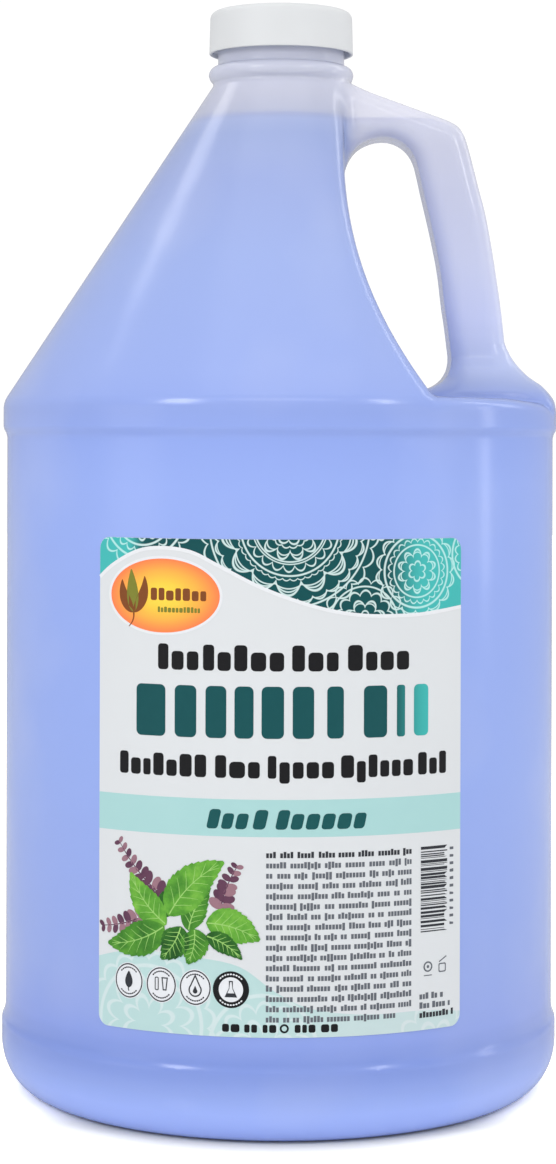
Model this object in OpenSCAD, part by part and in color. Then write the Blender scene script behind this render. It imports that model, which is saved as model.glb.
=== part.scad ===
// One-gallon blow-moulded round jug with a moulded-in handle and a
// continuous-thread screw cap, filled with oil. Millimetres, +Z up.
// The origin is the centre of the base on the table. The label faces -Y
// and the handle is on the +X side.

/* [Body] */
// Largest radius of the body, at the shoulder band and the base bead
body_r = 76.2; // [75.8:0.1:76.8]
// Radius of the recessed label panel
panel_r = 75.15; // [74.8:0.05:75.3]
// Wall thickness of the body, shoulder and handle
wall = 0.9; // [0.8:0.1:1.4]
// Height at which the recessed panel begins
panel_z0 = 23; // [22:0.5:26]
// Height at which the recessed panel ends
panel_z1 = 178; // [172:0.5:178]
// Outer radius of the flat ring the jug stands on
foot_r = 65.6; // [64:0.2:67]
// Inner radius of the flat ring the jug stands on
foot_r_in = 53; // [48:1:56]
// Height of the pushed-up centre of the base
punt_h = 3.5; // [3:0.5:6]

/* [Shoulder and neck] */
// Height where the line of the cone meets the body radius
cone_z = 187; // [186.5:0.1:188]
// How far the cone comes in for each millimetre it rises
cone_slope = 0.656; // [0.654:0.001:0.659]
// Radius of the soft edge between the band and the cone
shoulder_fillet = 6; // [4:0.5:8]
// Largest radius of the bead under the thread
bead_r = 20.0; // [19.8:0.1:20.2]
// Radius of the neck between its threads
neck_r = 17.45; // [17.35:0.05:17.5]
// Height of the bead's centre
bead_z = 277.5; // [277.3:0.1:277.7]
// Height of the jug's mouth
mouth_z = 292.5; // [292:0.1:293]
// Radius of the bore through the neck
bore_r = 15.5; // [15:0.1:15.8]

/* [Handle] */
// How far the wall behind the grip stands from the axis, at the top
recess_x = 16.95; // [16.8:0.05:17.2]
// Height of the shelf that the grip stands on
shelf_z = 188.2; // [187.6:0.1:188.6]
// Half width of the grip from front to back
grip_half_w = 12.5; // [11:0.5:14]

/* [Thread] */
// Rise of the thread for one turn
pitch = 4.233; // [4.2:0.01:4.27]
// Turns of thread on the neck
turns = 1.25; // [1:0.05:1.4]
// Crest radius of the thread on the neck
thread_r = 18.6; // [18.5:0.05:18.65]

/* [Cap] */
// Outer radius of the cap at its open end
cap_r = 19.9; // [19.8:0.1:20.2]
// Outer radius of the cap at its top edge
cap_r_top = 19.65; // [19.5:0.05:19.75]
// Inside radius of the cap's skirt
cap_in_r = 18.9; // [18.85:0.05:18.95]
// Height of the cap's open end
cap_z0 = 283.3; // [283:0.1:283.6]
// Height of the cap's flat top
cap_z1 = 295.1; // [294.9:0.1:295.6]
// Radius of the rounding on the cap's top edge
cap_edge = 2.0; // [1:0.25:2.5]
// Thickness of the foam liner
liner_t = 1.0; // [0.8:0.1:1.1]

/* [Label] */
// Height of the label's lower edge
label_z0 = 28; // [27:0.5:34]
// Height of the label's upper edge
label_z1 = 152.2; // [140:0.2:170]
// Angle the label covers to each side of its middle
label_half_deg = 37.65; // [30:0.05:50]
// Angle of the label's middle, turned towards the handle
label_turn = 0.25; // [-3:0.05:3]
// Radius of the label's corners
label_corner = 3; // [1:0.5:6]
// Thickness of the label stock
label_t = 0.13; // [0.1:0.01:0.2]

/* [Contents] */
// Height of the surface of the oil
oil_z = 265; // [200:1:267]

/* [Hidden] */
$fn = 96;
slack = 0.05;
cone_k = sqrt(1 + cone_slope * cone_slope);
cone_phi = atan(cone_slope);
bead_w = 2.4;

// ---- small geometry helpers ----
function arc(cx, cy, rx, ry, a0, a1, n) =
    [for (i = [0:n]) let (a = a0 + (a1 - a0) * i / n) [cx + rx * cos(a), cy + ry * sin(a)]];
function bez(p, q, r, s, n, from = 0) =
    [for (i = [from:n]) let (t = i / n, u = 1 - t)
        u*u*u * p + 3*u*u*t * q + 3*u*t*t * r + t*t*t * s];
function unit(v) = v / norm(v);
function sgnpow(v, e) = (v < 0 ? -1 : 1) * pow(abs(v), e);

// ---- revolved body ----
// d is the inset from the outer skin: 0 for the outside, the wall for the inside
function shoulder_pts(d) =
    let (cx = body_r - shoulder_fillet, top = bead_z - 2.25,
         zc = cone_z + (body_r - cx - shoulder_fillet * cos(cone_phi)) / cone_slope
              - shoulder_fillet * sin(cone_phi))
    concat([[body_r - d, panel_z1 + 2 + d * 0.3]],
           arc(cx, zc, shoulder_fillet - d, shoulder_fillet - d, 0, cone_phi, 6));
function lower_pts(d) =
    concat([[0, punt_h + d], [foot_r_in - 9, punt_h + d], [foot_r_in, d]],
           arc(foot_r, 14, 10.6 * (body_r - foot_r) / 10.6 - d, 14 - d, -90, 0, 12),
           [[body_r - d, 19 + d * 0.2], [panel_r - d, panel_z0 + d * 0.2],
            [panel_r - d, panel_z1 - d * 0.2]]);

module outer_body() {
    rotate_extrude() polygon(concat(
        lower_pts(0), shoulder_pts(0),
        arc(bead_r - bead_w, bead_z, bead_w, bead_w, -70, 78, 10),
        [[neck_r, bead_z + 2.7]],
        arc(neck_r - 0.5, mouth_z - 0.5, 0.5, 0.5, 0, 90, 4),
        [[0, mouth_z]]));
}

// the inside of the body, up to where the cone meets the bore, or with the bore
module inner_body(d, with_bore) {
    z_meet = cone_z + (body_r - d * cone_k - bore_r) / cone_slope;
    rotate_extrude() polygon(concat(
        lower_pts(d), shoulder_pts(d),
        [[bore_r, z_meet], [bore_r, with_bore ? mouth_z + 2 : z_meet + 0.5],
         [0, with_bore ? mouth_z + 2 : z_meet + 0.5]]));
}

// side view of the space cut away around the grip, grown by g
module recess(g) {
    a = [recess_x - g, 300];
    b = [recess_x - g, 254];
    c = [38.9 - g * 0.9, shelf_z - g * 0.5];
    rotate([90, 0, 0]) linear_extrude(height = 200, center = true)
        polygon(concat([[100, bead_z - 2.4 + g], [a[0], bead_z - 2.4 + g]],
                       bez(b, [recess_x - g, 231], [22.6 - g, 211], c, 10),
                       [[60, shelf_z - g - 0.2], [100, shelf_z - g - 3]]));
}

// ---- grip ----
// stations along the grip: x, z, half thickness, half width
function stations() = [
    [10, 267.5, 9.6, 11.5], [20, 265.0, 9.0, grip_half_w - 1.2],
    [24.5, 265.9, 6.8, grip_half_w - 1.2], [29, 265.2, 5.5, grip_half_w - 1.2],
    [34.5, 263.0, 5.3, grip_half_w - 1.0], [39.5, 261.0, 6.2, grip_half_w - 0.8],
    [43.4, 258.6, 8.2, grip_half_w - 0.6], [45.1, 252.5, 7.65, grip_half_w - 0.2],
    [46.5, 247.5, 7.75, grip_half_w],
    [48.8, 236.5, 7.75, grip_half_w], [50.8, 225.4, 7.6, grip_half_w],
    [52.45, 214.3, 7.6, grip_half_w], [53.9, 204.0, 7.95, grip_half_w + 0.3],
    [55.1, 198.8, 8.75, grip_half_w + 1.2], [55.9, 196.2, 10.0, grip_half_w + 2.6],
    [56.5, 194.0, 11.7, grip_half_w + 4.4], [56.9, 192.2, 13.9, grip_half_w + 6.4],
    [56.0, 190.6, 16.5, grip_half_w + 8], [55.6, 189.0, 18.0, grip_half_w + 9],
    [55.6, 184.5, 17.6, grip_half_w + 8.5]];
// closed skin of the grip, inset by d
module grip(d) {
    p = stations();
    n = len(p) - 1;
    m = 20;
    // the sections of the flared foot lie level
    dir = [for (i = [0:n]) p[i][1] < 200 ? [0, -1] :
        unit([p[min(i + 1, n)][0] - p[max(i - 1, 0)][0], p[min(i + 1, n)][1] - p[max(i - 1, 0)][1]])];
    pts = [for (i = [0:n]) for (j = [0:m - 1])
        let (a = 360 * (j + 0.5) / m, u = sgnpow(cos(a), 0.8) * (p[i][2] - d),
             v = sgnpow(sin(a), 0.8) * (p[i][3] - d))
        [p[i][0] - dir[i][1] * u, v, p[i][1] + dir[i][0] * u]];
    sides = [for (i = [0:n - 1]) for (j = [0:m - 1])
        let (a = i * m + j, b = i * m + (j + 1) % m)
        each [[a, b, a + m], [b, b + m, a + m]]];
    polyhedron(points = pts, faces = concat(
        sides, [[for (j = [m - 1:-1:0]) j]], [[for (j = [0:m - 1]) n * m + j]]));
}

// ---- screw thread ----
// a ridge wound about +Z: r0 its root, r1 its crest, z0 the middle of its first section
module thread(r0, r1, z0, turns, half_root, half_crest, phase = 0) {
    k = 40;
    n = round(turns * k);
    pts = [for (i = [0:n])
        let (a = phase + 360 * i / k, z = z0 + pitch * i / k,
             f = min(1, min(i, n - i) / 3 + 0.12), r = r0 + (r1 - r0) * f,
             hr = half_root, hc = half_crest)
        each [[r0 * cos(a), r0 * sin(a), z - hr], [r * cos(a), r * sin(a), z - hc],
              [r * cos(a), r * sin(a), z + hc], [r0 * cos(a), r0 * sin(a), z + hr]]];
    flip = r1 < r0;
    quads = [for (i = [0:n - 1]) for (j = [0:3])
        let (a = i * 4 + j, b = i * 4 + (j + 1) % 4)
        each (flip ? [[b, a, a + 4], [b + 4, b, a + 4]] : [[a, b, a + 4], [b, b + 4, a + 4]])];
    ends = flip ? [[0, 1, 2, 3], [n * 4 + 3, n * 4 + 2, n * 4 + 1, n * 4]]
                : [[3, 2, 1, 0], [n * 4, n * 4 + 1, n * 4 + 2, n * 4 + 3]];
    polyhedron(points = pts, faces = concat(quads, ends));
}

// ---- sub-parts ----
module jug() {
    color([0.86, 0.87, 0.92]) difference() {
        union() {
            difference() { outer_body(); recess(0); }
            grip(0);
            thread(neck_r - 0.4, thread_r, mouth_z - 7.3, turns, 1.25, 0.6);
        }
        difference() { inner_body(wall, true); recess(wall); }
        grip(wall);
    }
}

module oil() {
    color([0.62, 0.70, 0.96]) intersection() {
        union() {
            difference() { inner_body(wall + slack, false); recess(wall + slack); }
            grip(wall + slack);
        }
        translate([-100, -100, -1]) cube([200, 200, oil_z + 1]);
    }
}

module screw_cap() {
    top_in = mouth_z + liner_t + slack;
    color([0.93, 0.93, 0.94]) union() {
        rotate_extrude() polygon(concat(
            [[0, top_in], [cap_in_r, top_in], [cap_in_r, cap_z0 + 0.5], [cap_in_r + 0.35, cap_z0],
             [cap_r, cap_z0]],
            arc(cap_r_top - cap_edge, cap_z1 - cap_edge, cap_edge, cap_edge, 0, 90, 8),
            [[0, cap_z1]]));
        // half a pitch below the neck's ridge, with the same 0.25 play above and below
        thread(cap_in_r + 0.35, 17.8, mouth_z - 7.3 - pitch / 2 + 0.25 + pitch / 3, 1.0,
               1.15, 0.45, phase = 120);
    }
}

module cap_liner() {
    color([0.96, 0.96, 0.95])
        translate([0, 0, mouth_z + slack / 2]) cylinder(r = 18.55, h = liner_t);
}

module front_label() {
    w = 2 * panel_r * sin(label_half_deg);
    h = label_z1 - label_z0;
    c = label_corner;
    color([0.9, 0.9, 0.91]) rotate([0, 0, label_turn]) intersection() {
        difference() {
            cylinder(r = panel_r + 0.02 + label_t, h = label_z1 + 10);
            translate([0, 0, -1]) cylinder(r = panel_r + 0.02, h = label_z1 + 12);
        }
        translate([0, 0, label_z0]) rotate([90, 0, 0]) union() {
            translate([-w / 2 + c, 0, 0]) cube([w - 2 * c, h, 100]);
            translate([-w / 2, c, 0]) cube([w, h - 2 * c, 100]);
            for (x = [-w / 2 + c, w / 2 - c]) for (y = [c, h - c])
                translate([x, y, 0]) cylinder(r = c, h = 100);
        }
    }
}

jug();
screw_cap();
cap_liner();
front_label();
oil();
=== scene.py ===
import math
import random

import bmesh
import bpy
import numpy as np
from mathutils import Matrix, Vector
from mathutils.geometry import tessellate_polygon


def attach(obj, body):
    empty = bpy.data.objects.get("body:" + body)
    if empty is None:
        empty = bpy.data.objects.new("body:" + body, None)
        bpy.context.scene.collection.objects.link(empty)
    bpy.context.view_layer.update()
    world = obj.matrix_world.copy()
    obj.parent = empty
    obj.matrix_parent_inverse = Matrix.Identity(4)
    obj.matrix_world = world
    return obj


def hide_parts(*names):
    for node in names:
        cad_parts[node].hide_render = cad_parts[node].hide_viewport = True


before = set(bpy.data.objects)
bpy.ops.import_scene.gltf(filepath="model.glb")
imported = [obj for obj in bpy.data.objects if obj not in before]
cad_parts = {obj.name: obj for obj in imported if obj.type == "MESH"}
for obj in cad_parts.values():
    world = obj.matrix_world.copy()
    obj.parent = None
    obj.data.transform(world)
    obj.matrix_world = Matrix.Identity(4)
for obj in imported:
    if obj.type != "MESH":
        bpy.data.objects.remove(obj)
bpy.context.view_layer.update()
MM = 0.001

# ------------------------------------------------------------------ sizes, in millimetres, as in the CAD
BODY_R, PANEL_R, WALL = 76.2, 75.15, 0.9
FOOT_R, FOOT_IN, PUNT = 65.6, 53.0, 3.5
CONE_Z, SLOPE, FILLET = 187.0, 0.656, 6.0
BEAD_R, BEAD_Z, BEAD_W, NECK_R, MOUTH_Z, BORE_R = 20.0, 277.5, 2.4, 17.45, 292.5, 15.5
PITCH, THREAD_R = 4.233, 18.6
RECESS_X, SHELF_Z, GRIP_W = 16.95, 188.2, 12.5
CAP_R, CAP_R_TOP, CAP_IN, CAP_Z0, CAP_Z1 = 19.9, 19.65, 18.9, 283.3, 295.1
OIL_Z = 265.0
LABEL_Z0, LABEL_Z1, LABEL_TURN, LABEL_HALF, LABEL_MID = 28.0, 152.2, 1.6, 37.65, 0.25
LABEL_R = PANEL_R + 0.02
LABEL_T = 0.13


# ------------------------------------------------------------------ fields
def arc(cx, cz, rx, rz, a0, a1, n):
    a = np.radians(np.linspace(a0, a1, n + 1))
    return np.stack([cx + rx * np.cos(a), cz + rz * np.sin(a)], 1)


def poly_sdf(p, poly, chunk=20000):
    """Signed distance from 2-D points to a closed polygon, negative inside."""
    a = poly
    b = np.roll(poly, -1, 0)
    e = b - a
    ee = np.maximum((e * e).sum(1), 1e-12)
    out = np.empty(len(p))
    for s in range(0, len(p), chunk):
        q = p[s : s + chunk]
        w0 = q[:, 0:1] - a[:, 0]
        w1 = q[:, 1:2] - a[:, 1]
        t = np.clip((w0 * e[:, 0] + w1 * e[:, 1]) / ee, 0, 1)
        dx = w0 - e[:, 0] * t
        dz = w1 - e[:, 1] * t
        d = np.sqrt((dx * dx + dz * dz).min(1))
        c1 = q[:, 1:2] >= a[:, 1]
        c2 = q[:, 1:2] < b[:, 1]
        c3 = e[:, 0] * w1 > e[:, 1] * w0
        flips = ((c1 & c2 & c3) | (~c1 & ~c2 & ~c3)).sum(1) % 2
        out[s : s + chunk] = np.where(flips == 1, -d, d)
    return out


def smin(a, b, k):
    h = np.maximum(k - np.abs(a - b), 0) / k
    return np.minimum(a, b) - h * h * h * k / 6


def smax(a, b, k):
    return -smin(-a, -b, k)


PHI = math.degrees(math.atan(SLOPE))
CONE_K = math.sqrt(1 + SLOPE * SLOPE)
_cx = BODY_R - FILLET
_zc = CONE_Z + (BODY_R - _cx - FILLET * math.cos(math.radians(PHI))) / SLOPE - FILLET * math.sin(math.radians(PHI))
SHOULDER = arc(_cx, _zc, FILLET, FILLET, 0, PHI, 14)


def soft_step(z0, z1, r0, r1, n=8):
    t = np.linspace(0, 1, n + 1)
    s = t * t * (3 - 2 * t)
    return np.stack([r0 + (r1 - r0) * s, z0 + (z1 - z0) * t], 1)


REV = np.concatenate([
    [[-30, PUNT], [42.0, PUNT]],
    np.stack([42 + 11 * np.linspace(0.08, 1, 12), PUNT * (1 - (lambda t: t * t * (3 - 2 * t))(np.linspace(0.08, 1, 12)))], 1),
    arc(FOOT_R, 14, 10.6, 14, -90, 0, 30),
    [[BODY_R, 18.7], [BODY_R - 0.03, 19.0], [BODY_R - 0.14, 19.3], [BODY_R - 0.34, 19.7], [BODY_R - 0.55, 20.15],
     [BODY_R - 0.72, 20.7], [BODY_R - 0.86, 21.4], [BODY_R - 0.97, 22.3], [PANEL_R, 23.4]],
    soft_step(177.6, 180.2, PANEL_R, BODY_R),
    SHOULDER,
    [[BODY_R - SLOPE * (300 - CONE_Z), 300], [-30, 300]],
])
NECK = np.concatenate([
    [[-30, 262], [16.4, 262], [16.8, 272], [17.6, 275.0]],
    arc(BEAD_R - BEAD_W, BEAD_Z, BEAD_W, BEAD_W, -75, 76, 30),
    arc(NECK_R + 0.7, BEAD_Z + 3.05, 0.7, 0.7, -115, -180, 6),
    [[NECK_R, 296], [-30, 296]],
])


def bez(p, q, r, s, n):
    t = np.linspace(0, 1, n + 1)[:, None]
    u = 1 - t
    p, q, r, s = map(np.array, (p, q, r, s))
    return u**3 * p + 3 * u * u * t * q + 3 * u * t * t * r + t**3 * s


SCOOP = np.concatenate([
    [[140, 276.5], [RECESS_X, 276.5]],
    bez([RECESS_X, 254], [RECESS_X, 231], [22.5, 211], [38.4, SHELF_Z + 1.0], 90),
    [[39.6, SHELF_Z], [60, SHELF_Z - 0.3], [70, SHELF_Z - 1.3], [140, SHELF_Z - 20]],
])

def catmull(p, per=6):
    p = np.array(p, float)
    out = []
    n = len(p) - 1
    for i in range(n):
        a, b, c, d = p[max(i - 1, 0)], p[i], p[i + 1], p[min(i + 2, n)]
        for t in np.arange(per) / per:
            out.append(0.5 * (2 * b + (c - a) * t + (2 * a - 5 * b + 4 * c - d) * t * t + (3 * b - a - 3 * c + d) * t**3))
    out.append(p[-1])
    return np.array(out)


# side view of the whole grip: its top and outer line, its flared foot, its inner line and the arch
GRIP_SIDE = np.concatenate([
    [[8, 278.0], [20.3, 273.75], [31.4, 269.8]],
    catmull([[39.4, 266.9], [45.2, 264.75], [47.9, 263.4], [49.5, 261.7], [50.5, 259.7], [51.4, 256.7], [52.5, 252.6], [54.1, 246.2], [56.2, 238.2], [58.3, 226.6],
             [60.0, 215.4], [61.0, 207.4], [61.4, 203.6], [62.4, 201.2], [63.7, 198.8], [65.5, 196.5], [67.7, 194.2], [70.8, 192.0], [72.3, 190.8], [73.7, 189.7], [74.7, 188.6], [75.3, 187.4]], 4),
    [[75.2, 184.0], [36.0, 184.0], [36.0, 189.2], [38.0, 190.2]],
    catmull([[41.3, 191.3], [43.4, 192.4], [45.0, 193.8], [46.0, 195.4], [46.6, 197.2], [46.8, 199.6], [46.2, 204.8], [45.5, 210.0], [44.9, 213.8], [43.6, 224.2], [41.4, 235.0],
             [38.9, 245.6], [37.7, 251.0], [36.7, 254.3], [34.9, 257.1], [32.3, 259.0], [29.4, 259.9], [26.0, 259.7], [22.9, 258.6], [20.2, 256.9], [17.7, 254.4], [14.5, 250.6], [6.0, 242.0]], 4)])


class Table:
    """Values of 2-D functions on a fine grid, read back with bilinear interpolation."""

    def __init__(self, lo, hi, h, fn):
        self.lo, self.h = np.array(lo, float), h
        self.n = np.ceil((np.array(hi) - self.lo) / h).astype(int) + 1
        g = np.stack(np.meshgrid(*(self.lo[k] + h * np.arange(self.n[k]) for k in (0, 1)), indexing="ij"), -1)
        v = fn(g.reshape(-1, 2))
        self.v = [c.reshape(self.n) for c in (v if isinstance(v, tuple) else (v,))]

    def __call__(self, a, b):
        fa = np.clip((a - self.lo[0]) / self.h, 0, self.n[0] - 1.001)
        fb = np.clip((b - self.lo[1]) / self.h, 0, self.n[1] - 1.001)
        i, j = fa.astype(int), fb.astype(int)
        x, y = fa - i, fb - j
        out = tuple(v[i, j] * (1 - x) * (1 - y) + v[i + 1, j] * x * (1 - y) + v[i, j + 1] * (1 - x) * y + v[i + 1, j + 1] * x * y for v in self.v)
        return out if len(out) > 1 else out[0]


def rev_fn(p):
    return poly_sdf(p, REV)


def neck_fn(p):
    return poly_sdf(p, NECK)


def scoop_fn(p):
    return poly_sdf(p, SCOOP)


EDGE_K, GRIP_K, NECK_K = 5.0, 8.0, 1.6


def side_fn(p):
    return poly_sdf(p, GRIP_SIDE)


def grip_shape(y, z, flat, f):
    """The grip: its side view, with a flat front and back and round edges; its foot widens inside the cone."""
    b = np.interp(z, [186, 190, 192, 194, 196.5, 200, 207, 245, 258, 268], np.array([10.0, 8.6, 6.8, 4.8, 2.6, 0.9, 0.2, 0.0, -0.6, -1.4]) + GRIP_W)
    rho = np.interp(z, [193, 205], [6.0, 4.5])
    qx, qy = flat + rho, np.abs(y) - (b - rho)
    g = np.hypot(np.maximum(qx, 0), np.maximum(qy, 0)) + np.minimum(np.maximum(qx, qy), 0) - rho
    return smax(g, f - np.interp(z, [200, 214], [0, 60]), 1.5)


def combine(p, rev, neck, scoop, side, which):
    x, y, z = p[:, 0], p[:, 1], p[:, 2]
    r = np.hypot(x, y)
    f = rev(r, z)
    s = scoop(x, z)
    body = smax(f, -s, EDGE_K)
    g = grip_shape(y, z, side(x, z), f)
    skin = smin(body, g, np.interp(z, [196, 236], [2.2, GRIP_K]))
    if which == "out":
        return smin(skin, neck(r, z), NECK_K)
    bore = np.maximum(r - BORE_R, 270 - z)
    if which == "in":
        return smin(skin + WALL, bore, 1.2)
    return smin(skin + WALL + 0.12, np.maximum(bore + 0.12, z - 280), 1.2)


_tables = {}


def exact(p, which):
    if not _tables:
        _tables["rev"] = Table((0, -6), (112, 302), 0.25, rev_fn)
        _tables["neck"] = Table((0, 255), (60, 302), 0.25, neck_fn)
        _tables["scoop"] = Table((4, 172), (90, 302), 0.25, scoop_fn)
        _tables["side"] = Table((-4, 168), (90, 292), 0.25, side_fn)
    t = _tables
    return combine(p, t["rev"], t["neck"], t["scoop"], t["side"], which)


def grad(p, which, e=0.5):
    g = np.empty_like(p)
    for k in range(3):
        d = np.zeros(3)
        d[k] = e
        g[:, k] = (exact(p + d, which) - exact(p - d, which)) / (2 * e)
    return g


def surface_nets(xs, ys, zs, V):
    """Quads on the zero level of V, with one vertex in each cell that the surface crosses."""
    S = V < 0
    nx, ny, nz = V.shape
    acc = np.zeros((nx - 1, ny - 1, nz - 1, 3))
    cnt = np.zeros((nx - 1, ny - 1, nz - 1))
    axes = (xs, ys, zs)
    for ax in range(3):
        lo = [slice(None)] * 3
        hi = [slice(None)] * 3
        lo[ax], hi[ax] = slice(0, -1), slice(1, None)
        a, b = V[tuple(lo)], V[tuple(hi)]
        idx = np.argwhere(S[tuple(lo)] != S[tuple(hi)])
        va, vb = a[tuple(idx.T)], b[tuple(idx.T)]
        t = va / (va - vb)
        pos = np.stack([axes[k][idx[:, k]] for k in range(3)], 1).astype(float)
        pos[:, ax] += t * (axes[ax][idx[:, ax] + 1] - axes[ax][idx[:, ax]])
        o = [k for k in range(3) if k != ax]
        for d0 in (0, -1):
            for d1 in (0, -1):
                c = idx.copy()
                c[:, o[0]] += d0
                c[:, o[1]] += d1
                ok = (c >= 0).all(1) & (c < np.array([nx - 1, ny - 1, nz - 1])).all(1)
                np.add.at(acc, tuple(c[ok].T), pos[ok])
                np.add.at(cnt, tuple(c[ok].T), 1)
    cells = np.argwhere(cnt > 0)
    vid = -np.ones(cnt.shape, int)
    vid[tuple(cells.T)] = np.arange(len(cells))
    verts = acc[tuple(cells.T)] / cnt[tuple(cells.T)][:, None]
    quads = []
    for ax in range(3):
        lo = [slice(None)] * 3
        hi = [slice(None)] * 3
        lo[ax], hi[ax] = slice(0, -1), slice(1, None)
        sa = S[tuple(lo)]
        idx = np.argwhere(sa != S[tuple(hi)])
        o = [(ax + 1) % 3, (ax + 2) % 3]
        ok = (idx[:, o[0]] > 0) & (idx[:, o[1]] > 0) & (idx[:, o[0]] < V.shape[o[0]] - 1) & (idx[:, o[1]] < V.shape[o[1]] - 1)
        idx = idx[ok]
        inside = sa[tuple(idx.T)]
        q = []
        for d0, d1 in ((-1, -1), (0, -1), (0, 0), (-1, 0)):
            c = idx.copy()
            c[:, o[0]] += d0
            c[:, o[1]] += d1
            q.append(vid[tuple(c.T)])
        q = np.stack(q, 1)
        q[~inside] = q[~inside][:, ::-1]
        quads.append(q)
    return verts, np.concatenate(quads)


def spaced(*spans):
    out = [spans[0][0]]
    for a, b, h in spans:
        n = max(1, int(round((b - a) / h)))
        out += list(a + (b - a) * np.arange(1, n + 1) / n)
    return np.array(out)


def relax(v, quads, which, rounds=5):
    """Evens out the mesh while keeping every vertex on the surface."""
    nv = len(v)
    e = np.concatenate([quads[:, [0, 1]], quads[:, [1, 2]], quads[:, [2, 3]], quads[:, [3, 0]]])
    e = np.concatenate([e, e[:, ::-1]])
    deg = np.bincount(e[:, 0], minlength=nv)[:, None].astype(float)
    for it in range(rounds):
        if it:
            s = np.stack([np.bincount(e[:, 0], v[e[:, 1], k], minlength=nv) for k in range(3)], 1) / deg
            v = v * 0.4 + s * 0.6
        f = exact(v, which)
        g = grad(v, which, 0.3)
        v = v - g * (f / np.maximum((g * g).sum(1), 0.25))[:, None]
    f = exact(v, which)
    g = grad(v, which, 0.3)
    return v - g * (f / np.maximum((g * g).sum(1), 0.25))[:, None]


def field_mesh(which, coarse=1.0):
    c = coarse
    xs = spaced((-78, -25, 1.75 * c), (-25, 25, 1.25 * c), (25, 78, 1.7 * c))
    ys = spaced((-78, -26, 1.75 * c), (-26, 26, 1.25 * c), (26, 78, 1.75 * c))
    zs = spaced((-1.5, 5, 0.75 * c), (5, 18, 1.35 * c), (18, 24.6, 0.6 * c), (24.6, 176, 3.4 * c), (176, 194, 0.85 * c), (194, 268, 1.5 * c), (268, 283, 0.75 * c))
    zs = np.append(zs, 285.0)
    X, Y, Z = np.meshgrid(xs, ys, zs, indexing="ij")
    P = np.stack([X.ravel(), Y.ravel(), Z.ravel()], 1)
    V = exact(P, which).reshape(X.shape)
    v, q = surface_nets(xs, ys, zs, V)
    return relax(v, q, which), q


def cut_below(v, q, z):
    """Keeps what is below z. Returns the vertices, the faces and the loop of vertices at z, in order of angle."""
    me = bpy.data.meshes.new("cut")
    me.from_pydata(v.tolist(), [], q.tolist())
    bm = bmesh.new()
    bm.from_mesh(me)
    bpy.data.meshes.remove(me)
    geom = bm.verts[:] + bm.edges[:] + bm.faces[:]
    bmesh.ops.bisect_plane(bm, geom=geom, dist=1e-5, plane_co=(0, 0, z), plane_no=(0, 0, 1), clear_outer=True)
    bmesh.ops.delete(bm, geom=[x for x in bm.verts if not x.link_faces], context="VERTS")
    bm.verts.ensure_lookup_table()
    bm.verts.index_update()
    rim = sorted({x.index for e in bm.edges if e.is_boundary for x in e.verts}, key=lambda i: math.atan2(bm.verts[i].co.y, bm.verts[i].co.x))
    verts = np.array([x.co[:] for x in bm.verts])
    faces = [[x.index for x in f.verts] for f in bm.faces]
    bm.free()
    return verts, faces, rim


def zip_loops(va, vb, a, b, flip):
    """Triangles between two loops round the axis, each in order of angle."""
    aa = [math.atan2(va[i][1], va[i][0]) for i in a]
    ab = [math.atan2(vb[i][1], vb[i][0]) for i in b]
    sa = min(range(len(a)), key=lambda i: aa[i])
    sb = min(range(len(b)), key=lambda i: ab[i])
    a, aa = a[sa:] + a[:sa], aa[sa:] + aa[:sa]
    b, ab = b[sb:] + b[:sb], ab[sb:] + ab[:sb]
    i = j = 0
    out = []
    na, nb = len(a), len(b)
    while i < na or j < nb:
        ta = aa[i + 1] if i + 1 < na else aa[0] + 2 * math.pi
        tb = ab[j + 1] if j + 1 < nb else ab[0] + 2 * math.pi
        if i < na and (j >= nb or ta <= tb):
            out.append([a[i % na], a[(i + 1) % na], b[j % nb]])
            i += 1
        else:
            out.append([a[i % na], b[(j + 1) % nb], b[j % nb]])
            j += 1
    return [t[::-1] for t in out] if flip else out


def make_mesh(name, v, faces, normals=None, scale=MM):
    me = bpy.data.meshes.new(name)
    me.from_pydata((np.asarray(v) * scale).tolist(), [], [list(map(int, f)) for f in faces])
    me.validate(clean_customdata=False)
    me.polygons.foreach_set("use_smooth", [True] * len(me.polygons))
    if normals is not None:
        me.normals_split_custom_set_from_vertices([tuple(n) for n in normals])
    me.update()
    ob = bpy.data.objects.new(name, me)
    bpy.context.scene.collection.objects.link(ob)
    return ob


# ------------------------------------------------------------------ jug
SEG = 256


def ridge(theta, z, z0, turns, h_wall, h_crest, phase=0.0):
    """Height of a screw ridge, 0 to 1, at an angle (degrees) and a height on the wall."""
    out = np.zeros(np.broadcast(theta, z).shape)
    total = turns * 360.0
    for k in (-1, 0, 1, 2):
        a = (theta - phase) % 360.0 + 360.0 * k
        ok = (a > -12) & (a < total + 12)
        dz = np.abs(z - (z0 + PITCH * a / 360.0))
        s = np.clip((h_wall - dz) / (h_wall - h_crest), 0, 1)
        s = s * s * (3 - 2 * s)
        end = np.clip(np.minimum(a + 4, total + 4 - a) / 30.0, 0, 1)
        out = np.maximum(out, np.where(ok, s * end * (2 - end), 0))
    return out


def lathe_rows(rows, seg=SEG):
    """Vertices of rings: rows is a list of (r, z, function of angle giving extra radius or None)."""
    th = np.arange(seg) * 360.0 / seg - 180.0
    v = []
    for r, z, fn in rows:
        rr = r + (fn(th, np.full(seg, z)) if fn else 0)
        rr = np.broadcast_to(rr, (seg,))
        v.append(np.stack([rr * np.cos(np.radians(th)), rr * np.sin(np.radians(th)), np.full(seg, z)], 1))
    return np.array(v)


def ring_faces(n_rows, seg, start=0, flip=False):
    f = []
    for i in range(n_rows - 1):
        a = start + i * seg
        for j in range(seg):
            k = (j + 1) % seg
            q = [a + j, a + k, a + seg + k, a + seg + j]
            f.append(q[::-1] if flip else q)
    return f


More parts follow.
